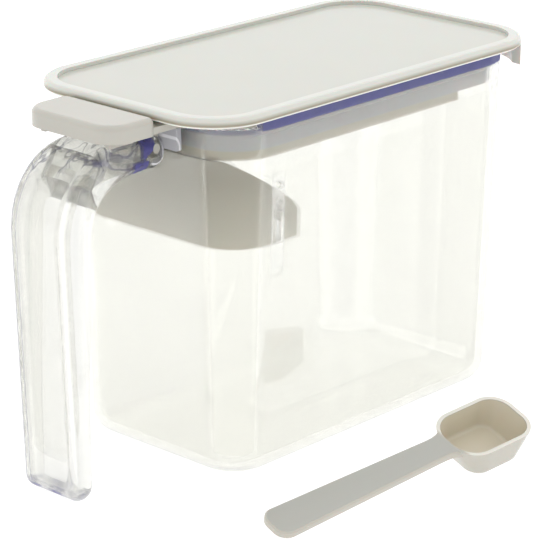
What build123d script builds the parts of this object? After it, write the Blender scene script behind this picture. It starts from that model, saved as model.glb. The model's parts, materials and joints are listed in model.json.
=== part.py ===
from build123d import *
from math import radians, tan
import os

# Spice box: a clear box with a hanging handle, a thumb-operated lid with a
# gasket, a drop-in levelling hood and a loose spoon. Millimetres, +Z up.
# X runs along the box with the handle at -X. The origin is on the base plane
# under the middle of the lid.

# Container, sizes at its rim
body_length = 131.6
body_width = 75.2
body_corner = 17.1
body_draft = 1.65
wall = 2.4
floor_thickness = 2.6
base_round = 6.5
inside_round = 4.5

# Lid cover, sized by how far it reaches past the container's rim
lid_over_hinge_end = 11.0
lid_over_far_end = 7.4
lid_over_side = 3.0
lid_corner = 18.6
lid_top = 114.1
lip_height = 3.0
rim_band = 3.95
panel_recess = 1.2
lip_round = 1.5
lip_edge_round = 0.5
skirt_wall = 2.4
skirt_drop = 7.3
skirt_arch = 1.8
skirt_reach = 6.8
seat_recess = 0.6

# Container mouth
rim_gap = 0.3
rim_chamfer_height = 3.4
rim_chamfer_width = 1.5
hinge_rim_drop = 2.6
hinge_rim_length = 11.8
notch_depth = 3.9
notch_clearance = 0.5

# Lid plug and gasket, as distances in from the container's outer face
plug_inset = 3.0
lip_inset = 2.85
gasket_inset = 3.9
skirt_inset = 5.4
skirt_inner_inset = 7.2
plug_plate = 2.1
flange_height = 2.1
gasket_height = 6.4
gasket_lip_height = 2.2
retainer_height = 2.7
retainer_end_reach = 102.6

# Hinge
hinge_setback = 5.0
hinge_drop = 10.0
pin_radius = 1.5
pin_clearance = 0.06
knuckle_radius = 3.0
swing_clearance = 0.25
lid_swing = 12.0
swing_steps = 5

# Thumb lever
lever_half_width = 17.4
lever_plate = 2.0
lever_reach_in = 12.0
pad_half_width = 18.7
pad_gap = 0.9
pad_length = 18.0
pad_drop = 1.2
pad_height = 5.3
pad_wall = 1.8
pad_outer_corner = 8.0
pad_inner_corner = 2.6
pad_round = 1.8
lever_clearance = 0.15
lug_thickness = 2.8
lug_clearance = 0.4
lug_top_length = 11.0
pin_end_clearance = 0.3
leg_thickness = 1.8
leg_length = 9.0
leg_setback = 2.0
leg_drop = 2.0
leg_clearance = 0.8
stake_radius = 1.6
stake_spacing = 20.0
stake_reach_in = 7.5
stake_clearance = 0.05
stake_head = 0.6

# Handle, reaches measured out from the container's end wall and drops from its rim
handle_half_width = 11.6
handle_wall = 2.2
handle_side_round = 3.6
handle_inside_round = 1.4
foot_height = 0.15
foot_round = 4.4
shoulder_reach = 20.0
shoulder_drop = 6.4
crown_reach = 36.4
crown_drop = 13.4
back_reach = 42.9
back_drop = 31.8
heel_reach = 40.0
palm_reach = 31.3
palm_height = 30.0
palm_top_reach = 29.2
palm_top_drop = 30.8
elbow_reach = 23.6
elbow_drop = 20.2
arm_reach = 13.0
arm_drop = 16.6
ear_radius = 4.8
ear_rise = 3.8
bulkhead_reach = 20.6
bulkhead_lean = 5.2
bulkhead_base = 15.6
arm_floor_rise = 1.2
back_plate_half_width = 16.2
back_plate_thickness = 1.8
back_plate_drop = 6.7

# Levelling hood, reaches measured in from the end wall and drops from the rim
hood_wall = 1.7
hood_clearance = 0.25
hood_height = 39.4
hood_top_drop = 12.6
hood_flat_reach = 5.4
hood_front_reach = 30.1
hood_front_drop = 30.8
hood_lip = 3.0
slope_start_reach = 9.6
slope_start_drop = 15.6
slope_middle_reach = 18.9
slope_middle_drop = 21.8
slope_end_reach = 27.6
slope_end_drop = 27.9
slot_reach = 21.4
slot_width = 4.0
slot_height = 14.2
rib_width = 3.4
rib_step_height = 9.8
rib_lower_proud = 2.3
rib_upper_proud = 1.2
bump_radius = 1.2
bump_drop = 21.75

# Spoon, lying on the floor tipped towards the viewer's side
spoon_x = -79.5
spoon_y = -66.1
spoon_turn = -6.1
spoon_tip = 18.7
spoon_pitch = -6.7
spoon_length = 96.7
spoon_handle_width = 11.6
spoon_neck_width = 8.8
spoon_thickness = 2.0
spoon_end_corner = 4.2
spoon_edge_round = 0.5
bowl_length = 29.5
bowl_width = 20.5
bowl_depth = 10.2
bowl_wall = 1.2
bowl_taper_side = 1.2
bowl_taper_tip = 4.5
bowl_taper_root = 6.0
bowl_tip_corner = 7.5
bowl_root_corner = 9.0
bowl_base_round = 2.0
neck_flare = 2.8
neck_flare_length = 8.0
neck_overlap = 3.6

# Levels and places worked out from the sizes above
lid_length = body_length + lid_over_hinge_end + lid_over_far_end
lid_width = body_width + 2 * lid_over_side
body_shift = (lid_over_hinge_end - lid_over_far_end) / 2
lip_z = lid_top - lip_height
rim_z = lip_z - rim_gap
hinge_rim_z = rim_z - hinge_rim_drop
notch_z = rim_z - notch_depth
body_back_x = body_shift - body_length / 2
plug_top_z = lip_z + seat_recess
plug_under_z = plug_top_z - plug_plate
gasket_top_z = plug_under_z - flange_height
gasket_bottom_z = gasket_top_z - gasket_height
retainer_z = gasket_bottom_z - retainer_height
lever_top_z = plug_under_z
hinge_x = body_back_x - hinge_setback
hinge_z = rim_z - hinge_drop
cheek_top = hinge_z + ear_rise
lever_inner_x = body_back_x + lever_reach_in
stake_x = body_back_x + stake_reach_in
pad_inner_x = -lid_length / 2 - pad_gap
pad_outer_x = pad_inner_x - pad_length
pad_top = lid_top - pad_drop
pad_bottom = pad_top - pad_height
lug_outer = handle_half_width - handle_wall - lug_clearance
hood_bottom = rim_z - hood_height
hood_top = rim_z - hood_top_drop
hood_front_x = body_back_x + hood_front_reach
slot_x = body_back_x + slot_reach
slot_top = hood_bottom + slot_height
rib_lower_top = hood_bottom + rib_step_height
bump_height = rim_z - bump_drop
lever_under_z = lever_top_z - lever_plate
draft_tan = tan(radians(body_draft))


def outline(inset, z):
    """Rounded rectangle of the container's rim, moved in by inset, at height z."""
    return Pos(body_shift, 0, z) * RectangleRounded(
        body_length - 2 * inset, body_width - 2 * inset, body_corner - inset
    )


def drafted(inset, top, bottom):
    """Block between two heights whose sides lean in towards the base."""
    at_top = inset + (rim_z - top) * draft_tan
    return extrude(outline(at_top, top), -(top - bottom), taper=body_draft)


def ring(outer_inset, inner_inset, bottom, top):
    """Straight-sided ring that follows the container's outline."""
    outer = extrude(outline(outer_inset, bottom), top - bottom)
    return outer - extrude(outline(inner_inset, bottom), top - bottom)


def block(x0, x1, y0, y1, z0, z1):
    """Box between two corners."""
    return Pos((x0 + x1) / 2, (y0 + y1) / 2, (z0 + z1) / 2) * Box(x1 - x0, y1 - y0, z1 - z0)


def side_face(wire):
    """Face of a closed outline drawn as X and Z in the middle plane."""
    return make_face(Plane.XZ * wire)


def side_prism(wire, half_width):
    """Solid with an XZ outline, as wide as twice half_width about the middle plane."""
    return extrude(side_face(wire), half_width, both=True)


def inner_half_width(z):
    """Half width of the container's inside at a height."""
    return body_width / 2 - wall - (rim_z - z) * draft_tan


def body_block():
    """Outer form of the container with no hollow, rounded at the base."""
    solid = drafted(0, rim_z, 0)
    return fillet(solid.faces().sort_by(Axis.Z)[0].edges(), base_round)


def make_container(solid):
    """Clear box: drafted walls, chamfered mouth, hinge-side step and hood ribs."""
    hollow = drafted(wall, rim_z, floor_thickness)
    hollow = fillet(hollow.faces().sort_by(Axis.Z)[0].edges(), inside_round)
    box = solid - hollow
    mouth_low = outline(wall + rim_chamfer_height * draft_tan, rim_z - rim_chamfer_height)
    mouth_high = outline(wall - rim_chamfer_width, rim_z)
    box -= loft([mouth_low, mouth_high])
    reach = body_length
    wide = body_width
    step_x = body_back_x + hinge_rim_length
    box -= block(step_x - reach, step_x, -wide, wide, hinge_rim_z, rim_z + 1)
    notch_half = lever_half_width + notch_clearance
    box -= block(step_x - reach, body_shift, -notch_half, notch_half, notch_z, rim_z + 1)
    return box + hood_ribs(solid)


def hood_ribs(solid):
    """Stepped locating rib and snap bump on the inside of each long wall."""
    ribs = []
    round_z = slot_top - slot_width / 2
    for side in (-1, 1):
        for low, high, proud in (
            (hood_bottom, rib_lower_top, rib_lower_proud),
            (rib_lower_top, round_z, rib_upper_proud),
        ):
            face = inner_half_width((low + high) / 2) - proud
            edge = face + proud + wall / 2
            y0, y1 = sorted((side * face, side * edge))
            ribs.append(block(slot_x - rib_width / 2, slot_x + rib_width / 2, y0, y1, low, high))
        cap = Pos(slot_x, (y0 + y1) / 2, round_z) * Rot(90, 0, 0)
        ribs.append(cap * Cylinder(rib_width / 2, y1 - y0))
        bump_y = side * (inner_half_width(bump_height) - hood_clearance)
        ribs.append(Pos(slot_x, bump_y, bump_height) * Sphere(bump_radius))
    return Part() + [rib & solid for rib in ribs]


def out(reach, drop):
    """Point in side view, a reach out from the end wall and a drop below the rim."""
    return (body_back_x - reach, rim_z - drop)


def handle_outline():
    """Side view of the handle: ear, arm, crown, back, round foot, palm side and elbow."""
    top_start = (hinge_x, cheek_top)
    heel = (body_back_x - heel_reach, foot_height + foot_round)
    foot = (heel[0] + foot_round, foot_height)
    toe = (heel[0] + 2 * foot_round, foot_height + foot_round)
    palm = (body_back_x - palm_reach, palm_height)
    back = out(back_reach, back_drop)
    palm_top = out(palm_top_reach, palm_top_drop)
    arm_low = out(arm_reach, arm_drop)
    ear_start = (hinge_x - ear_radius / 2, hinge_z - ear_rise - ear_radius / 2)
    ear_end = (hinge_x + ear_radius, hinge_z - ear_radius / 5)
    shoulder = out(shoulder_reach, shoulder_drop)
    crown = out(crown_reach, crown_drop)
    lines = [
        Line(top_start, shoulder),
        Spline([shoulder, crown, back], tangents=[(-1, -0.06), (0.03, -1)]),
        Line(back, heel),
        ThreePointArc(heel, foot, toe),
        Line(toe, palm),
        Line(palm, palm_top),
        Spline([palm_top, out(elbow_reach, elbow_drop), arm_low], tangents=[(0.04, 1), (1, 0.12)]),
        Line(arm_low, ear_start),
        ThreePointArc(ear_start, ear_end, top_start),
    ]
    return Wire(lines)


def grip_hollow():
    """Space behind the handle's outer wall, open on the palm side below the elbow."""
    wall_in = handle_wall
    low = foot_height + wall_in
    heel = (body_back_x - heel_reach + wall_in, low + foot_round - wall_in)
    base = (heel[0] + foot_round - wall_in, low)
    back = out(back_reach - wall_in, back_drop)
    crown = out(crown_reach - 0.7 * wall_in, crown_drop + 0.75 * wall_in)
    top = out(bulkhead_reach + 1.4 * wall_in, shoulder_drop + 1.15 * wall_in)
    corner = out(bulkhead_reach + bulkhead_lean + 1.6 * wall_in, bulkhead_base + 0.9 * wall_in)
    elbow = out(palm_top_reach - wall_in, elbow_drop + 2 * wall_in)
    open_x = body_back_x - elbow_reach + wall_in
    lines = [
        Line((open_x, low), base),
        RadiusArc(base, heel, foot_round - wall_in),
        Line(heel, back),
        Spline([back, crown, top], tangents=[(-0.03, 1), (1, 0.1)]),
        Line(top, corner),
        Line(corner, elbow),
        Line(elbow, (open_x, elbow[1])),
        Line((open_x, elbow[1]), (open_x, low)),
    ]
    hollow = side_prism(Wire(lines), handle_half_width - wall_in)
    long_edges = hollow.edges().filter_by(lambda e: abs(e.center().Y) > 1)
    rounded = long_edges.filter_by(lambda e: e.center().X < open_x - 1)
    return fillet(rounded, handle_inside_round)


def arm_pocket():
    """Trough in the arm for the lever's knuckles, open on top, with a leaning end."""
    end_x = body_back_x - back_plate_thickness
    top = out(bulkhead_reach, hinge_drop - ear_rise)
    base = out(bulkhead_reach + bulkhead_lean, bulkhead_base)
    low = (body_back_x - arm_reach, rim_z - arm_drop + handle_wall)
    lines = [
        Line((top[0], lid_top), top),
        Line(top, base),
        Line(base, low),
        Line(low, (end_x, low[1] + arm_floor_rise)),
        Line((end_x, low[1] + arm_floor_rise), (end_x, lid_top)),
        Line((end_x, lid_top), (top[0], lid_top)),
    ]
    return side_prism(Wire(lines), handle_half_width - handle_wall)


def make_handle(solid):
    """Clear handle: a shell open on its palm side, with an open-topped arm for the lever."""
    full = side_prism(handle_outline(), handle_half_width)
    rims = full.edges().filter_by(lambda e: abs(abs(e.center().Y) - handle_half_width) < 0.01)
    full = fillet(rims, handle_side_round)
    full -= grip_hollow()
    full -= arm_pocket()
    full += block(
        body_back_x - back_plate_thickness,
        body_back_x + back_plate_thickness,
        -back_plate_half_width,
        back_plate_half_width,
        notch_z - back_plate_drop,
        notch_z,
    )
    bore = Pos(hinge_x, 0, hinge_z) * Rot(90, 0, 0)
    return full - bore * Cylinder(pin_radius + pin_clearance, 4 * handle_half_width) - solid


def make_lid_cover():
    """Lid top with a raised round rim, a sunk panel and a deep pull skirt at the far end."""
    top = extrude(
        Pos(0, 0, lip_z) * RectangleRounded(lid_length, lid_width, lid_corner), lip_height
    )
    top = fillet(top.faces().sort_by(Axis.Z)[-1].edges(), lip_round)
    panel = RectangleRounded(
        lid_length - 2 * rim_band, lid_width - 2 * rim_band, lid_corner - rim_band
    )
    top -= extrude(Pos(0, 0, lid_top - panel_recess) * panel, panel_recess)
    top = chamfer(top.faces().sort_by(Axis.Z)[0].edges(), lip_edge_round)
    top -= extrude(outline(plug_inset - lever_clearance, lip_z), seat_recess)
    return top + pull_skirt()


def pull_skirt():
    """Deeper lip round the far end, arched along its lower edge."""
    low = lip_z - skirt_drop
    outer = RectangleRounded(lid_length, lid_width, lid_corner)
    inner = RectangleRounded(
        lid_length - 2 * skirt_wall, lid_width - 2 * skirt_wall, lid_corner - skirt_wall
    )
    skirt = extrude(Pos(0, 0, low) * (outer - inner), skirt_drop + lip_edge_round)
    start = lid_length / 2 - skirt_reach
    skirt &= block(start, lid_length, -lid_width, lid_width, low, lip_z + lip_edge_round)
    chord = lid_width / 2
    radius = (chord * chord + skirt_arch * skirt_arch) / (2 * skirt_arch)
    arch = Pos(lid_length / 2, 0, low + skirt_arch - radius) * Rot(0, 90, 0)
    return skirt - arch * Cylinder(radius, 4 * skirt_reach)


def swing_keep_outs():
    """Container walls near the hinge as the turning lid meets them, one per angle."""
    inset = wall + swing_clearance
    near = block(-2 * body_width, hinge_x / 2, -body_width, body_width, hinge_z - 6, rim_z + 0.1)
    step_x = body_back_x + hinge_rim_length
    low = hinge_rim_z + 0.1
    near -= block(-3 * body_width, step_x + 0.1, -2 * body_width, 2 * body_width, low, 2 * rim_z)
    walls = near - drafted(inset, rim_z + 5, hinge_z - 10)
    axis = Axis((hinge_x, 0, hinge_z), (0, 1, 0))
    turns = [lid_swing * step / swing_steps for step in range(swing_steps + 1)]
    return [walls.rotate(axis, turn) for turn in turns]


def clear_of_swing(piece, keep_outs):
    """Piece with everything that would meet the container's walls taken away."""
    for walls in keep_outs:
        piece -= walls
    return piece


def make_lid_plug(keep_outs):
    """Inner lid: seat plate, gasket flange, skirt and a retainer round most of the edge."""
    plate = extrude(outline(plug_inset, plug_under_z), plug_plate)
    flange = ring(plug_inset, skirt_inner_inset, gasket_top_z, plug_under_z)
    skirt = ring(skirt_inset, skirt_inner_inset, gasket_bottom_z, gasket_top_z)
    retainer = ring(gasket_inset, skirt_inner_inset, retainer_z, gasket_bottom_z)
    end_x = body_back_x + retainer_end_reach
    retainer -= block(end_x, lid_length, -lid_width, lid_width, retainer_z, gasket_bottom_z)
    lower = flange + skirt + retainer
    side = lever_half_width + lever_clearance
    lower -= block(-lid_length, lever_inner_x, -side, side, lever_under_z, lever_top_z)
    stakes = []
    for y in (-stake_spacing / 2, stake_spacing / 2):
        stakes.append(Pos(stake_x, y, lever_under_z) * Cylinder(stake_radius, 3 * lever_plate))
    pegs = Part() + stakes
    low = lever_under_z - stake_head
    pegs &= block(-lid_length, 0, -lid_width, lid_width, low, plug_under_z + plug_plate / 2)
    return clear_of_swing(plate + lower, keep_outs) + pegs


def make_gasket(keep_outs):
    """Silicone ring on the plug's skirt with one lip towards the container wall."""
    body = ring(gasket_inset, skirt_inset, gasket_bottom_z, gasket_top_z)
    lip = ring(lip_inset, skirt_inset, gasket_top_z - gasket_lip_height, gasket_top_z)
    lip = chamfer(
        lip.faces().sort_by(Axis.Z)[0].outer_wire().edges(), (gasket_inset - lip_inset) * 0.7
    )
    return clear_of_swing(body + lip, keep_outs)


def make_lever():
    """Thumb lever: hollow pad, plate under the lid, two lugs with stub pins, guide legs."""
    def pad_plan(inset):
        plan = Rectangle(pad_length - 2 * inset, 2 * (pad_half_width - inset))
        outer = plan.vertices().group_by(Axis.X)[0]
        plan = fillet(outer, pad_outer_corner - inset)
        inner = plan.vertices().group_by(Axis.X)[-1]
        return fillet(inner, pad_inner_corner - inset)

    middle = (pad_inner_x + pad_outer_x) / 2
    pad = extrude(Pos(middle, 0, pad_bottom) * pad_plan(0), pad_height)
    pad = fillet(pad.faces().sort_by(Axis.Z)[-1].edges(), pad_round)
    pad -= extrude(Pos(middle, 0, pad_bottom) * pad_plan(pad_wall), pad_height - pad_wall)
    plate = block(
        pad_inner_x - pad_wall,
        lever_inner_x,
        -lever_half_width,
        lever_half_width,
        lever_under_z,
        lever_top_z,
    )
    for y in (-stake_spacing / 2, stake_spacing / 2):
        plate -= Pos(stake_x, y, lever_under_z) * Cylinder(stake_radius + stake_clearance, 3 * lever_plate)
    lever = pad + plate
    for side in (-1, 1):
        lever += lever_lug(side)
        lever += guide_leg(side)
    return lever


def lever_lug(side):
    """Lug from the lever plate down to its knuckle, with a stub pin outwards."""
    high = lever_under_z + lever_plate / 4
    right = hinge_x + knuckle_radius
    left = right - lug_top_length
    tip = Pos(hinge_x, hinge_z) * Circle(knuckle_radius)
    web_plan = make_face(
        Polyline(
            [
                (right, high),
                (left, high),
                (hinge_x - knuckle_radius * 0.9, hinge_z - knuckle_radius * 0.2),
                (hinge_x, hinge_z - knuckle_radius * 0.7),
                (right, hinge_z),
                (right, high),
            ]
        )
    )
    profile = Plane.XZ * (tip + web_plan)
    lug = extrude(profile, lug_thickness)
    middle = side * (lug_outer - lug_thickness / 2)
    lug = Pos(0, middle + lug_thickness / 2, 0) * lug
    reach = handle_half_width - lug_outer - pin_end_clearance
    pin = Pos(hinge_x, side * (lug_outer + reach / 2), hinge_z) * Rot(90, 0, 0)
    return lug + pin * Cylinder(pin_radius, reach + 0.02)


def guide_leg(side):
    """Leg below the pad that runs down outside a handle cheek."""
    inner = handle_half_width + leg_clearance
    y0, y1 = sorted((side * inner, side * (inner + leg_thickness)))
    start = pad_outer_x + pad_wall + leg_setback
    return block(start, start + leg_length, y0, y1, pad_bottom - leg_drop, pad_top - pad_wall)


def hood_side(drop):
    """Side view under the hood's sloping top edge, lowered by drop."""
    back_x = body_back_x
    low = hood_bottom
    level = hood_top - drop
    front = (hood_front_x, rim_z - hood_front_drop - drop)
    flat_end = (back_x + hood_flat_reach, level)
    slope = [
        (back_x + slope_start_reach, rim_z - slope_start_drop - drop),
        (back_x + slope_middle_reach, rim_z - slope_middle_drop - drop),
        (back_x + slope_end_reach, rim_z - slope_end_drop - drop),
    ]
    lines = [
        Line((back_x, level), flat_end),
        Spline([flat_end] + slope, tangents=[(0.81, -0.59), (0.81, -0.59)]),
        Line(slope[-1], front),
        Line(front, (hood_front_x, low)),
        Line((hood_front_x, low), (back_x, low)),
        Line((back_x, low), (back_x, level)),
    ]
    return side_prism(Wire(lines), body_width / 2)


def make_hood():
    """Drop-in hood: walls that follow the box, a sloping roof and a levelling edge."""
    gap = wall + hood_clearance
    high = rim_z - hood_top_drop / 2
    outer = drafted(gap, high, hood_bottom) & hood_side(0)
    void = drafted(gap + hood_wall, high, hood_bottom - hood_wall) & hood_side(hood_wall)
    lip_low = rim_z - hood_front_drop - hood_wall - hood_lip
    front_lip = block(
        hood_front_x - hood_wall, hood_front_x, -body_width, body_width, lip_low, hood_top
    )
    hood = outer - (void - front_lip)
    half = slot_width / 2
    inside = inner_half_width(hood_bottom) - 3 * hood_wall
    for side in (-1, 1):
        y0, y1 = sorted((side * inside, side * body_width / 2))
        hood -= block(slot_x - half, slot_x + half, y0, y1, hood_bottom - half, slot_top - half)
        round_end = Pos(slot_x, (y0 + y1) / 2, slot_top - half) * Rot(90, 0, 0)
        hood -= round_end * Cylinder(half, y1 - y0)
    return hood


def bowl_plan(length, width, tip, root):
    """Bowl outline with small corners at the tip and large ones at the handle."""
    plan = Rectangle(length, width)
    plan = fillet(plan.vertices().group_by(Axis.X)[-1], tip)
    return fillet(plan.vertices().group_by(Axis.X)[0], root)


def spoon_bowl():
    """Bowl with tapered walls and its hollow, the rim in the base plane of the handle."""
    middle = spoon_length - bowl_length / 2
    low_length = bowl_length - bowl_taper_tip - bowl_taper_root
    low_width = bowl_width - 2 * bowl_taper_side
    low_middle = middle + (bowl_taper_root - bowl_taper_tip) / 2
    cut = 2 * bowl_wall
    rise = bowl_wall / bowl_depth
    inner_length = low_length + (bowl_taper_tip + bowl_taper_root) * rise - cut
    inner_width = low_width + 2 * bowl_taper_side * rise - cut
    base_tip = bowl_tip_corner - bowl_base_round
    base_root = bowl_root_corner - 2 * bowl_base_round
    rim = bowl_plan(bowl_length, bowl_width, bowl_tip_corner, bowl_root_corner)
    base = bowl_plan(low_length, low_width, base_tip, base_root)
    bowl = loft([Pos(low_middle, 0, -bowl_depth) * base, Pos(middle, 0, 0) * rim])
    bowl = fillet(bowl.faces().sort_by(Axis.Z)[0].edges(), bowl_base_round)
    inner_rim = bowl_plan(
        bowl_length - cut, bowl_width - cut, bowl_tip_corner - bowl_wall, bowl_root_corner - bowl_wall
    )
    inner_base = bowl_plan(inner_length, inner_width, base_tip - bowl_wall, base_root - bowl_wall)
    hollow = loft(
        [Pos(low_middle, 0, bowl_wall - bowl_depth) * inner_base, Pos(middle, 0, 0.01) * inner_rim]
    )
    hollow = fillet(hollow.faces().sort_by(Axis.Z)[0].edges(), bowl_base_round - bowl_wall / 2)
    return bowl, hollow


def make_spoon():
    """Measuring spoon: flat handle with a flared neck and a box-shaped bowl."""
    root_x = spoon_length - bowl_length
    half = spoon_handle_width / 2
    neck = spoon_neck_width / 2
    flare_end = root_x + neck_overlap
    flare_start = flare_end - neck_flare_length
    wide = neck + neck_flare
    lean = (half - neck) / flare_start
    plan = make_face(
        Wire(
            [
                Line((0, -half), (0, half)),
                Line((0, half), (flare_start, neck)),
                Spline([(flare_start, neck), (flare_end, wide)], tangents=[(1, -lean), (0.6, 0.8)]),
                Line((flare_end, wide), (flare_end, -wide)),
                Spline(
                    [(flare_end, -wide), (flare_start, -neck)], tangents=[(-0.6, 0.8), (-1, -lean)]
                ),
                Line((flare_start, -neck), (0, -half)),
            ]
        )
    )
    plan = fillet(plan.vertices().group_by(Axis.X)[0], spoon_end_corner)
    handle = extrude(plan, -spoon_thickness)
    handle = chamfer(handle.faces().sort_by(Axis.Z)[-1].edges(), spoon_edge_round)
    bowl, hollow = spoon_bowl()
    spoon = Rot(0, spoon_pitch, 0) * (handle + bowl - hollow)
    spoon = Rot(0, 0, spoon_turn) * Rot(spoon_tip, 0, 0) * spoon
    return Pos(spoon_x, spoon_y, -spoon.bounding_box().min.Z) * spoon


os.makedirs("parts", exist_ok=True)
body_form = body_block()
walls_in_swing = swing_keep_outs()
pieces = {
    "container": make_container(body_form),
    "handle": make_handle(body_form),
    "lid_cover": make_lid_cover(),
    "lid_plug": make_lid_plug(walls_in_swing),
    "gasket": make_gasket(walls_in_swing),
    "thumb_lever": make_lever(),
    "levelling_hood": make_hood(),
    "spoon": make_spoon(),
}
for name, shape in pieces.items():
    export_step(shape, f"parts/{name}.step")
    print(name, len(shape.solids()), "solids", round(shape.volume), "cubic mm")
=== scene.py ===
import json
import math

import bpy
from mathutils import Matrix, Vector


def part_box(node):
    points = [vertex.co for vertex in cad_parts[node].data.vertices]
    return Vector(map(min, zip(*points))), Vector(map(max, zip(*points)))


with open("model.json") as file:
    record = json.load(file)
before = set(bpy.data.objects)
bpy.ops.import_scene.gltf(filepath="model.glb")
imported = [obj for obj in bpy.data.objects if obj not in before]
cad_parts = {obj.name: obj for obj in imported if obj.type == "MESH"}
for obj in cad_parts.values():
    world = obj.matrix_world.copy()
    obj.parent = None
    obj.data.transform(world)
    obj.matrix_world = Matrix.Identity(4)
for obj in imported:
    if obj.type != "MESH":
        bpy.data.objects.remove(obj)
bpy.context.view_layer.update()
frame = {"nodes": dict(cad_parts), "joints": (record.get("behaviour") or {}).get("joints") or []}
nodes = frame["nodes"]

# Places on the object, in metres. The handle is at -x, the spoon on the -y side.

mm = 0.001
lid_hinge = next(joint for joint in frame["joints"] if joint["name"] == "lid_hinge")
pin = Vector(lid_hinge["pos_m"])
# The clear box's rim is lower from the hinge end to rim_step, and a rib stands in each long wall.
box_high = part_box("container")[1]
box_far_end = box_high.x
box_inside = box_high.y - 3.0 * mm
rim_top = box_high.z
rim_step = pin.x + 17.0 * mm
rib_middle = pin.x + 26.5 * mm
rib_reach = 2.5 * mm
# The lid's rim turns under at lid_lip, and its pull skirt hangs from the far end.
lid_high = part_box("lid_cover")[1]
lid_far_end = lid_high.x
lid_lip = lid_high.z - 3.0 * mm
hood_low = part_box("levelling_hood")[0].z
# The handle's two cheeks lie outside this, on either side of the middle.
cheek_inside = 8.5 * mm
# The spoon lies tilted: spoon_up is where its top faces, and bowl_top is its rim measured along that.
spoon_up = Vector((-0.15, -0.304, 0.941)).normalized()
bowl_root = -12.5 * mm
bowl_top = 35.0 * mm


# Colour and node helpers

def rgb(code):
    """Linear RGBA of an sRGB hex colour such as E7E8E2."""
    parts = [int(code[i:i + 2], 16) / 255 for i in (0, 2, 4)]
    return [c / 12.92 if c <= 0.04045 else ((c + 0.055) / 1.055) ** 2.4 for c in parts] + [1.0]


def add(tree, kind, inputs=(), **settings):
    """New node of a kind with its settings and its inputs, each by name or number.

    An input that is a socket is linked, one that is a node is linked from its first output, and any
    other is set as a value.
    """
    node = tree.nodes.new("ShaderNode" + kind)
    for name, value in settings.items():
        setattr(node, name, value)
    for name, value in dict(inputs).items():
        if isinstance(value, bpy.types.Node):
            value = value.outputs[0]
        if isinstance(value, bpy.types.NodeSocket):
            tree.links.new(value, node.inputs[name])
        else:
            node.inputs[name].default_value = value
    return node


def emptied(block):
    """Emptied node tree of a new material or world."""
    block.use_nodes = True
    block.node_tree.nodes.clear()
    return block.node_tree


def readings(tree):
    """What a mask can read at a point of the skin, in the object's own coordinates."""
    source = add(tree, "TexCoord")
    place = source.outputs["Object"]
    axes = add(tree, "SeparateXYZ", {"Vector": place}).outputs
    at = {"place": place, "normal": source.outputs["Normal"]}
    return at | {"x": axes["X"], "y": axes["Y"], "z": axes["Z"]}


def with_facing(tree, at):
    """The readings, and how far the skin faces along x, y and z, each from -1 to 1."""
    axes = add(tree, "SeparateXYZ", {"Vector": at["normal"]}).outputs
    return at | {"facing_x": axes["X"], "facing_y": axes["Y"], "facing_z": axes["Z"]}


def with_spoon_up(tree, at):
    """The readings, and a point's rise and the skin's facing along the tilted spoon's own up direction."""
    rise = add(tree, "VectorMath", {0: at["place"], 1: spoon_up}, operation="DOT_PRODUCT")
    facing = add(tree, "VectorMath", {0: at["normal"], 1: spoon_up}, operation="DOT_PRODUCT")
    return at | {"rise": rise.outputs["Value"], "facing_up": facing.outputs["Value"]}


def zone(tree, at, **limits):
    """1 where every reading named lies inside its limits, easing off to 0 outside them.

    A limit is a low end, a high end and the width of its soft edge. An end that is None is open.
    """
    share = 1.0
    for reading, (low, high, soft) in limits.items():
        for end, outward in ((low, -soft), (high, soft)):
            if end is not None:
                limit = {"Value": at[reading], "From Min": end + outward, "From Max": end}
                ease = add(tree, "MapRange", limit)
                share = add(tree, "Math", {0: share, 1: ease}, operation="MULTIPLY")
    return share


# Masks on the lid, the hood and the spoon

def rim_shade(tree, at):
    """Painted shade down the side of the lid's rim, to where it turns under."""
    turn = lid_lip + 0.6 * mm
    side = zone(tree, at, z=(turn, turn + 0.4 * mm, 1.1 * mm))
    foot = zone(tree, at, z=(turn, None, 0.3 * mm))
    return add(tree, "Math", {0: side, 1: foot}, operation="MULTIPLY")


def rim_under(tree, at):
    """Painted light on the thin edge at the foot of the lid's rim, and on the pull skirt's inside at the
    far end.
    """
    edge = zone(tree, at, z=(rim_top, rim_top + 0.7 * mm, 0.3 * mm))
    skirt_low = lid_lip - 11.1 * mm
    skirt_high = lid_lip + 0.1 * mm
    skirt = zone(tree, at, x=(lid_far_end - 5.0 * mm, None, 1.0 * mm), z=(skirt_low, skirt_high, 0.4 * mm))
    return add(tree, "Math", {0: edge, 1: skirt}, operation="MAXIMUM")


def hood_foot(tree, at):
    """Painted light on the hood's lower part, where it is lit through the clear walls from the table."""
    fade_length = 20.0 * mm
    fade_start = hood_low - 0.9 * mm
    height = zone(tree, at, z=(fade_start + fade_length, None, fade_length))
    return add(tree, "MapRange", {"Value": height, "To Min": 0.75, "To Max": 0.0})


def bowl_inside(tree, at):
    """Painted light inside the bowl of the spoon, below its rim, that makes it creamier."""
    below_rim = bowl_top - 0.1 * mm
    limits = {
        "facing_up": (0.06, None, 0.03),
        "x": (bowl_root, None, 1.0 * mm),
        "rise": (None, below_rim, 0.2 * mm),
    }
    return zone(tree, with_spoon_up(tree, at), **limits)


def bowl_rim(tree, at):
    """Painted highlight on the flat of the bowl's rim."""
    on_rim = bowl_top + 0.1 * mm
    limits = {
        "facing_up": (0.98, None, 0.03),
        "x": (bowl_root + 1.5 * mm, None, 1.0 * mm),
        "rise": (on_rim, None, 0.1 * mm),
    }
    return zone(tree, with_spoon_up(tree, at), **limits)


def handle_flat(tree, at):
    """Painted shade on the flat upper side of the spoon's handle, darker and greyer than its sides."""
    handle_end = bowl_root - 0.3 * mm
    return zone(tree, with_spoon_up(tree, at), facing_up=(0.99, None, 0.03), x=(None, handle_end, 0.8 * mm))


# Masks on the clear box

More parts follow.
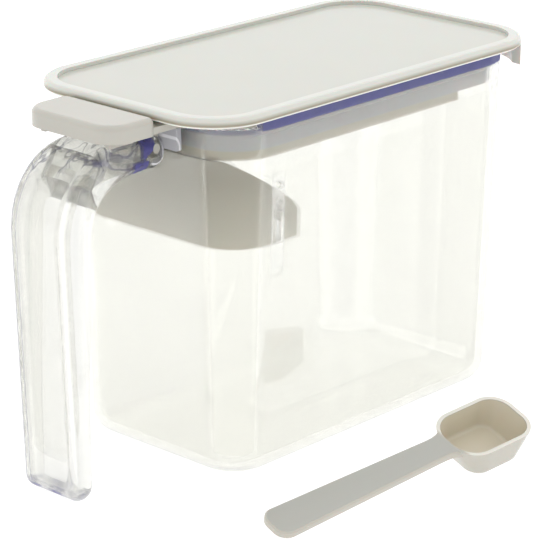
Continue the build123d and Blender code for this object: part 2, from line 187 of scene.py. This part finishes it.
def box_unbent(tree, at):
    """Low walls pass most light straight on, and the rim and the two locating ribs bend it."""
    ribs = zone(
        tree,
        at,
        x=(rib_middle - rib_reach, rib_middle + rib_reach, 0.5 * mm),
        y=(-box_inside, box_inside, 0.1 * mm),
        z=(hood_low - 7.4 * mm, None, 4.0 * mm),
    )
    rim = zone(tree, at, z=(rim_top - 8.8 * mm, None, 8.0 * mm))
    bent = add(tree, "Math", {0: ribs, 1: rim}, operation="MAXIMUM")
    return add(tree, "MapRange", {"Value": bent, "To Min": 0.7, "To Max": 0.12})


def rim_violet(tree, at):
    """Painted violet light along the top 3 mm of the box's rim, thinner where the rim steps down, and a
    little uneven.
    """
    half_gap = 0.5 * mm
    step_strength = 0.25
    strip = zone(tree, at, x=(rim_step + half_gap, None, 0.6 * mm), z=(rim_top - 3.4 * mm, None, 0.3 * mm))
    step = zone(tree, at, x=(None, rim_step - half_gap, 0.6 * mm), z=(rim_top - 4.0 * mm, None, 0.5 * mm))
    step = add(tree, "Math", {0: step, 1: step_strength}, operation="MULTIPLY")
    both = add(tree, "Math", {0: strip, 1: step}, operation="MAXIMUM")
    patches = add(tree, "TexNoise", {"Vector": at["place"], "Scale": 1 / violet_patch})
    uneven = add(tree, "MapRange", {"Value": patches, "To Min": 0.6, "To Max": 1.0})
    return add(tree, "Math", {0: both, 1: uneven}, operation="MULTIPLY")


def edge_painted_shade(tree, at):
    """Painted faint grey shade along the box's foot and down its two corners at the far end."""
    corner_strength = 0.07
    foot_strength = 0.16
    at = with_facing(tree, at)
    across = add(tree, "Math", {0: at["facing_x"], 1: at["facing_y"]}, operation="MULTIPLY")
    slant = add(tree, "Math", {0: across}, operation="ABSOLUTE")
    at = at | {"slant": slant.outputs[0]}
    corner = zone(
        tree,
        at,
        slant=(0.44, None, 0.1),
        x=(box_far_end - 8.6 * mm, None, 4.0 * mm),
        z=(10.0 * mm, 100.0 * mm, 20.0 * mm),
    )
    foot = zone(tree, at, facing_z=(-0.75, 0.3, 0.1), z=(None, 1.8 * mm, 2.0 * mm))
    corner = add(tree, "Math", {0: corner, 1: corner_strength}, operation="MULTIPLY")
    foot = add(tree, "Math", {0: foot, 1: foot_strength}, operation="MULTIPLY")
    return add(tree, "Math", {0: corner, 1: foot}, operation="MAXIMUM")


# Masks on the clear handle

def handle_unbent(tree, at):
    """The grip passes more light straight on than the arm with its many faces."""
    arm = zone(tree, at, z=(pin.z - 2.8 * mm, None, 12.0 * mm))
    return add(tree, "MapRange", {"Value": arm, "To Min": 0.38, "To Max": 0.12})


def knuckle_violet(tree, at):
    """Painted violet light in two blocks in the near cheek beside the lever's pin, the upper one with a
    sloping foot.
    """
    slope = 0.67
    patch_size = 2.0 * mm
    lean = add(tree, "Math", {0: at["x"], 1: -slope, 2: at["z"]}, operation="MULTIPLY_ADD")
    at = at | {"lean": lean.outputs[0]}
    lean_at_pin = pin.z - slope * pin.x
    upper = zone(
        tree,
        at,
        lean=(lean_at_pin + 0.97 * mm, None, 0.2 * mm),
        x=(pin.x - 5.5 * mm, pin.x - 0.7 * mm, 0.3 * mm),
    )
    lower = zone(
        tree,
        at,
        x=(pin.x - 8.6 * mm, pin.x - 3.4 * mm, 0.5 * mm),
        z=(pin.z - 6.4 * mm, pin.z - 2.8 * mm, 0.2 * mm),
    )
    blocks = add(tree, "Math", {0: upper, 1: lower}, operation="MAXIMUM")
    near = zone(tree, at, y=(None, -cheek_inside, 0.5 * mm))
    patches = add(tree, "TexNoise", {"Vector": at["place"], "Scale": 1 / patch_size, "Detail": 3.0})
    uneven = add(tree, "MapRange", {"Value": patches, "To Min": 0.35, "To Max": 1.1})
    blocks = add(tree, "Math", {0: blocks, 1: near}, operation="MULTIPLY")
    return add(tree, "Math", {0: blocks, 1: uneven}, operation="MULTIPLY")


def cheek_glint(tree, at):
    """Painted highlight on the rounded end of each cheek, a ring of 4.3 to 4.8 mm radius round the pin."""
    strength = 0.75
    from_pin = add(tree, "VectorMath", {0: at["place"], 1: pin}, operation="SUBTRACT")
    upright = add(tree, "VectorMath", {0: from_pin, 1: (1.0, 0.0, 1.0)}, operation="MULTIPLY")
    radius = add(tree, "VectorMath", {0: upright}, operation="LENGTH")
    sideways = add(tree, "Math", {0: at["y"]}, operation="ABSOLUTE")
    at = at | {"radius": radius.outputs["Value"], "sideways": sideways.outputs[0]}
    ring = zone(
        tree,
        at,
        radius=(4.3 * mm, 4.8 * mm, 0.2 * mm),
        sideways=(cheek_inside + 0.5 * mm, None, 0.5 * mm),
        x=(pin.x - 1.5 * mm, None, 1.0 * mm),
    )
    return add(tree, "Math", {0: ring, 1: strength}, operation="MULTIPLY")


def foot_violet(tree, at):
    """Painted violet light in broken patches round the foot of the grip."""
    noise = add(tree, "TexNoise", {"Vector": at["place"], "Scale": 1 / violet_patch})
    patches = zone(tree, {"noise": noise.outputs[0]}, noise=(0.58, None, 0.16))
    broken = add(tree, "MapRange", {"Value": patches, "To Min": 0.08, "To Max": 0.7})
    foot = zone(tree, at, z=(None, 2.2 * mm, 1.0 * mm))
    return add(tree, "Math", {0: foot, 1: broken}, operation="MULTIPLY")


def arm_lines(tree, at):
    """Painted dark thin lines of shade, drawn out along the arm, that its many faces throw into each other.
    """
    strength = 0.45
    line_gap = 7.0 * mm
    # Under 1 the lines are drawn out along that axis, over 1 they are closer.
    drawn_out = (0.45, 1.3, 0.9)
    drawn = add(tree, "Mapping", {"Vector": at["place"], "Scale": drawn_out})
    noise = add(tree, "TexNoise", {"Vector": drawn, "Scale": 1 / line_gap, "Detail": 1.0})
    lines = zone(
        tree,
        at | {"noise": noise.outputs[0]},
        noise=(0.49, 0.51, 0.01),
        x=(pin.x - 31.0 * mm, pin.x - 6.0 * mm, 2.0 * mm),
        z=(pin.z - 4.3 * mm, pin.z + 5.2 * mm, 3.0 * mm),
    )
    return add(tree, "Math", {0: lines, 1: strength}, operation="MULTIPLY")


def plate_painted_light(tree, at):
    """Painted light on the arm's plate against the box, which catches light all over."""
    strength = 0.6
    plate = zone(tree, at, x=(pin.x + 2.2 * mm, None, 0.4 * mm), z=(pin.z - 6.8 * mm, None, 1.0 * mm))
    return add(tree, "Math", {0: plate, 1: strength}, operation="MULTIPLY")


def side_lines(tree, at):
    """Painted grey shade along the grip's far round and down the inside of its near wall."""
    far_strength = 0.5
    inner_strength = 0.3
    at = with_facing(tree, at)
    far = zone(tree, at, facing_y=(0.35, 0.95, 0.1), y=(7.5 * mm, None, 1.0 * mm))
    inner = zone(tree, at, facing_y=(0.9, None, 0.1), y=(-12.0 * mm, -6.0 * mm, 1.0 * mm))
    far = add(tree, "Math", {0: far, 1: far_strength}, operation="MULTIPLY")
    inner = add(tree, "Math", {0: inner, 1: inner_strength}, operation="MULTIPLY")
    both = add(tree, "Math", {0: far, 1: inner}, operation="MAXIMUM")
    grip = zone(tree, at, z=(4.0 * mm, 99.0 * mm, 4.0 * mm))
    return add(tree, "Math", {0: both, 1: grip}, operation="MULTIPLY")


# Materials

# Melt flow leaves slow changes about flow_size wide: the colour runs to its shade, and the roughness
# goes from glossier below to duller above its own value. In a milky skin light spreads light_reach.
flow_size = 18.0 * mm
glossier = 0.02
duller = 0.03
light_reach = 2.0 * mm
# The real mould grain is under 0.1 mm and wouldn't show, so it is drawn 0.4 to 0.6 mm wide.
grain_strength = 0.15
silicone_grain = 0.4 * mm
fine_grain = 0.5 * mm
coarse_grain = 0.6 * mm
# The clear walls wave slowly. Their mould's polishing marks are drawn coarser than the real ones,
# which are far under a millimetre, and only vary the roughness from 0 to polish_rough.
wave_size = 30.0 * mm
wave_height = 0.6 * mm
polish_grain = 1.2 * mm
polish_rough = 0.04
styrene_ior = 1.57
# The violet light that gathers in the thick clear edges is laid on by place, in patches this wide.
violet_patch = 6.0 * mm


def moulded(name, colour, shade, rough, grain, depth, ior=1.5, milky=0.0, layers=()):
    """Moulded plastic or rubber that hides what is behind it.

    grain is the width and depth the height of the spark-eroded mould's marks, and milky the share of
    light that spreads under the skin. A layer is a mask and the colour that it lays over the ones before.
    """
    material = bpy.data.materials.new(name)
    tree = emptied(material)
    at = readings(tree)
    slow = add(tree, "TexNoise", {"Vector": at["place"], "Scale": 1 / flow_size})
    skin_colour = rgb(colour)
    for share, layer in [(slow, shade)] + [(mask(tree, at), layer) for mask, layer in layers]:
        blend = add(tree, "Mix", {0: share, 6: skin_colour, 7: rgb(layer)}, data_type="RGBA")
        skin_colour = blend.outputs[2]
    gloss = add(tree, "MapRange", {"Value": slow, "To Min": rough - glossier, "To Max": rough + duller})
    marks = add(tree, "TexNoise", {"Vector": at["place"], "Scale": 1 / grain, "Detail": 3.0})
    bump = add(tree, "Bump", {"Height": marks, "Strength": grain_strength, "Distance": depth})
    skin = add(
        tree,
        "BsdfPrincipled",
        {
            "Base Color": skin_colour,
            "Roughness": gloss,
            "Normal": bump,
            "IOR": ior,
            "Subsurface Weight": milky,
            "Subsurface Scale": light_reach,
        },
    )
    add(tree, "OutputMaterial", {"Surface": skin})
    return material


def clear_styrene(name, skin_colour, tint, absorb, flow_marks, unbent, layers):
    """Clear styrene from a polished mould: a smooth refracting skin over a faintly tinted body.

    absorb is how dense the tint is per metre and flow_marks how strongly the walls wave. unbent is the
    mask of the light that a wall passes straight on, which keeps its edges soft. A layer is a mask and
    the colour of the light that piles up there, in the thick edges.
    """
    material = bpy.data.materials.new(name)
    tree = emptied(material)
    at = readings(tree)
    flow = add(tree, "TexNoise", {"Vector": at["place"], "Scale": 1 / wave_size, "Detail": 1.0})
    wave = add(tree, "Bump", {"Height": flow, "Strength": flow_marks, "Distance": wave_height})
    polish = add(tree, "TexNoise", {"Vector": at["place"], "Scale": 1 / polish_grain})
    gloss = add(tree, "MapRange", {"Value": polish, "To Min": 0.0, "To Max": polish_rough})
    skin = add(
        tree,
        "BsdfPrincipled",
        {
            "Base Color": rgb(skin_colour),
            "Roughness": gloss,
            "Normal": wave,
            "IOR": styrene_ior,
            "Transmission Weight": 1.0,
        },
    )
    straight = add(tree, "BsdfTransparent", {"Color": rgb("FBFBF9")})
    wall = add(tree, "MixShader", {0: unbent(tree, at), 1: skin, 2: straight})
    for mask, colour in layers:
        edge = add(tree, "BsdfDiffuse", {"Color": rgb(colour)})
        wall = add(tree, "MixShader", {0: mask(tree, at), 1: wall, 2: edge})
    body = add(tree, "VolumeAbsorption", {"Color": rgb(tint), "Density": absorb})
    add(tree, "OutputMaterial", {"Surface": wall, "Volume": body})
    return material


looks = {
    # Clear styrene, thin walls: nearly colourless, with a violet line of gathered light along the rim.
    "container": clear_styrene(
        "clear_styrene_box",
        skin_colour="FDFDFB",
        tint="F4F5E4",
        absorb=6.5,
        flow_marks=0.05,
        unbent=box_unbent,
        layers=[(edge_painted_shade, "B8B8C8"), (rim_violet, "616294")],
    ),
    # Clear styrene with many close faces: greyer, with painted dark lines of shade and blocks of painted
    # violet light where they meet.
    "handle": clear_styrene(
        "clear_styrene_handle",
        skin_colour="F1F1EE",
        tint="F0F1E8",
        absorb=14.0,
        flow_marks=0.03,
        unbent=handle_unbent,
        layers=[
            (side_lines, "9A9AAA"),
            (plate_painted_light, "E4E4EC"),
            (arm_lines, "57557F"),
            (foot_violet, "6E6C9E"),
            (knuckle_violet, "5C5A9A"),
            (cheek_glint, "F8F8FC"),
        ],
    ),
    # ABS, moulded: an even cool white with a clear sheen, and light that sinks in a little; painted shade
    # runs down the rim's side, and painted light lies at its foot and inside the pull skirt.
    "lid_cover": moulded(
        "abs_cool_white",
        colour="D8DAD3",
        shade="D5D7CF",
        rough=0.17,
        grain=fine_grain,
        depth=0.01 * mm,
        milky=0.3,
        layers=[(rim_shade, "A09A88"), (rim_under, "F4F4EE")],
    ),
    # Polypropylene, moulded: a waxy, nearly matt beige.
    "lid_plug": moulded(
        "pp_beige",
        colour="CAC4B4",
        shade="C2BCAB",
        rough=0.34,
        grain=coarse_grain,
        depth=0.03 * mm,
        milky=0.15,
    ),
    # Silicone rubber, moulded: a clear grey that looks milky and soft.
    "gasket": moulded(
        "silicone_clear_grey",
        colour="CBCBCC",
        shade="C2C2C4",
        rough=0.2,
        grain=silicone_grain,
        depth=0.01 * mm,
        ior=1.41,
        milky=0.4,
    ),
    # Polypropylene, moulded: a warm light grey, glossy on the pad.
    "thumb_lever": moulded(
        "pp_warm_grey",
        colour="C4C2B9",
        shade="BEBBB2",
        rough=0.17,
        grain=fine_grain,
        depth=0.01 * mm,
        milky=0.1,
    ),
    # Polypropylene, moulded: a darker warm grey with a dull sheen, with painted light that makes it lighter
    # at its foot.
    "levelling_hood": moulded(
        "pp_hood_grey",
        colour="B0ACA2",
        shade="A9A59B",
        rough=0.24,
        grain=coarse_grain,
        depth=0.02 * mm,
        milky=0.1,
        layers=[(hood_foot, "D2CEC3")],
    ),
    # Polypropylene, moulded: a smooth warm grey; painted light makes the bowl creamier, a painted highlight
    # lies on its rim, and painted shade darkens the handle's flat top.
    "spoon": moulded(
        "pp_spoon_grey",
        colour="C6C3B8",
        shade="BFBBB0",
        rough=0.2,
        grain=coarse_grain,
        depth=0.01 * mm,
        milky=0.1,
        layers=[(bowl_inside, "D4CDB9"), (bowl_rim, "E8E6DC"), (handle_flat, "B8B8B1")],
    ),
}
for name, material in looks.items():
    mesh = nodes[name].data
    if not mesh.materials:
        mesh.materials.append(material)
    for slot in nodes[name].material_slots:
        slot.material = material


# Studio

def table():
    """White opal acrylic table lit from below, so even and bright that it hardly takes a shadow."""
    table_size = 8.0
    table_middle = (0.6, 0.6, -0.2 * mm)
    bpy.ops.mesh.primitive_plane_add(size=table_size, location=table_middle)
    floor = bpy.context.object
    floor.name = "floor"
    material = bpy.data.materials.new("floor_white")
    tree = emptied(material)
    glow = {"Emission Color": rgb("FFFFFF"), "Emission Strength": 0.9}
    skin = add(tree, "BsdfPrincipled", {"Base Color": rgb("868686"), "Roughness": 0.9} | glow)
    add(tree, "OutputMaterial", {"Surface": skin})
    floor.data.materials.append(material)


def dome():
    """Bright white dome of light, dimmer on the viewer's side and near the table."""
    world = bpy.data.worlds.new("studio")
    bpy.context.scene.world = world
    tree = emptied(world)
    bright_side = (0.45, 0.42, 0.79)
    direction = add(tree, "TexCoord").outputs["Generated"]
    away = add(tree, "VectorMath", {0: direction, 1: bright_side}, operation="DOT_PRODUCT")
    from_dim_to_bright = {"From Min": -0.6, "From Max": 0.9, "To Min": 0.72, "To Max": 1.22}
    level = add(tree, "MapRange", {"Value": away.outputs["Value"]} | from_dim_to_bright)
    sky = add(tree, "Background", {"Color": rgb("FFFFFF"), "Strength": level})
    add(tree, "OutputWorld", {"Surface": sky})


def camera():
    """Camera at the photograph's viewing angle."""
    turn = math.radians(-47.4)
    rise = math.radians(18.94)
    roll = math.radians(0.18)
    distance = 809.5 * mm
    target = Vector((-10.78, -5.23, 48.92)) * mm
    photo_pixels = 540
    focal_pixels = 2613.3
    shift_pixels = (-8.05, -2.85)
    back = Vector((math.sin(turn) * math.cos(rise), -math.cos(turn) * math.cos(rise), math.sin(rise)))
    level = (-back).cross(Vector((0, 0, 1))).normalized()
    high = level.cross(-back)
    right = math.cos(roll) * level + math.sin(roll) * high
    up = -math.sin(roll) * level + math.cos(roll) * high
    data = bpy.data.cameras.new("camera")
    data.sensor_width = 36.0
    data.lens = focal_pixels / photo_pixels * data.sensor_width
    data.shift_x = shift_pixels[0] / photo_pixels
    data.shift_y = shift_pixels[1] / photo_pixels
    data.clip_start = 0.01
    shooter = bpy.data.objects.new("camera", data)
    bpy.context.scene.collection.objects.link(shooter)
    turned = Matrix((right, up, back)).transposed().to_4x4()
    shooter.matrix_world = Matrix.Translation(target + back * distance) @ turned
    bpy.context.scene.camera = shooter


table()
dome()
camera()
bpy.context.scene.view_settings.view_transform = "Standard"
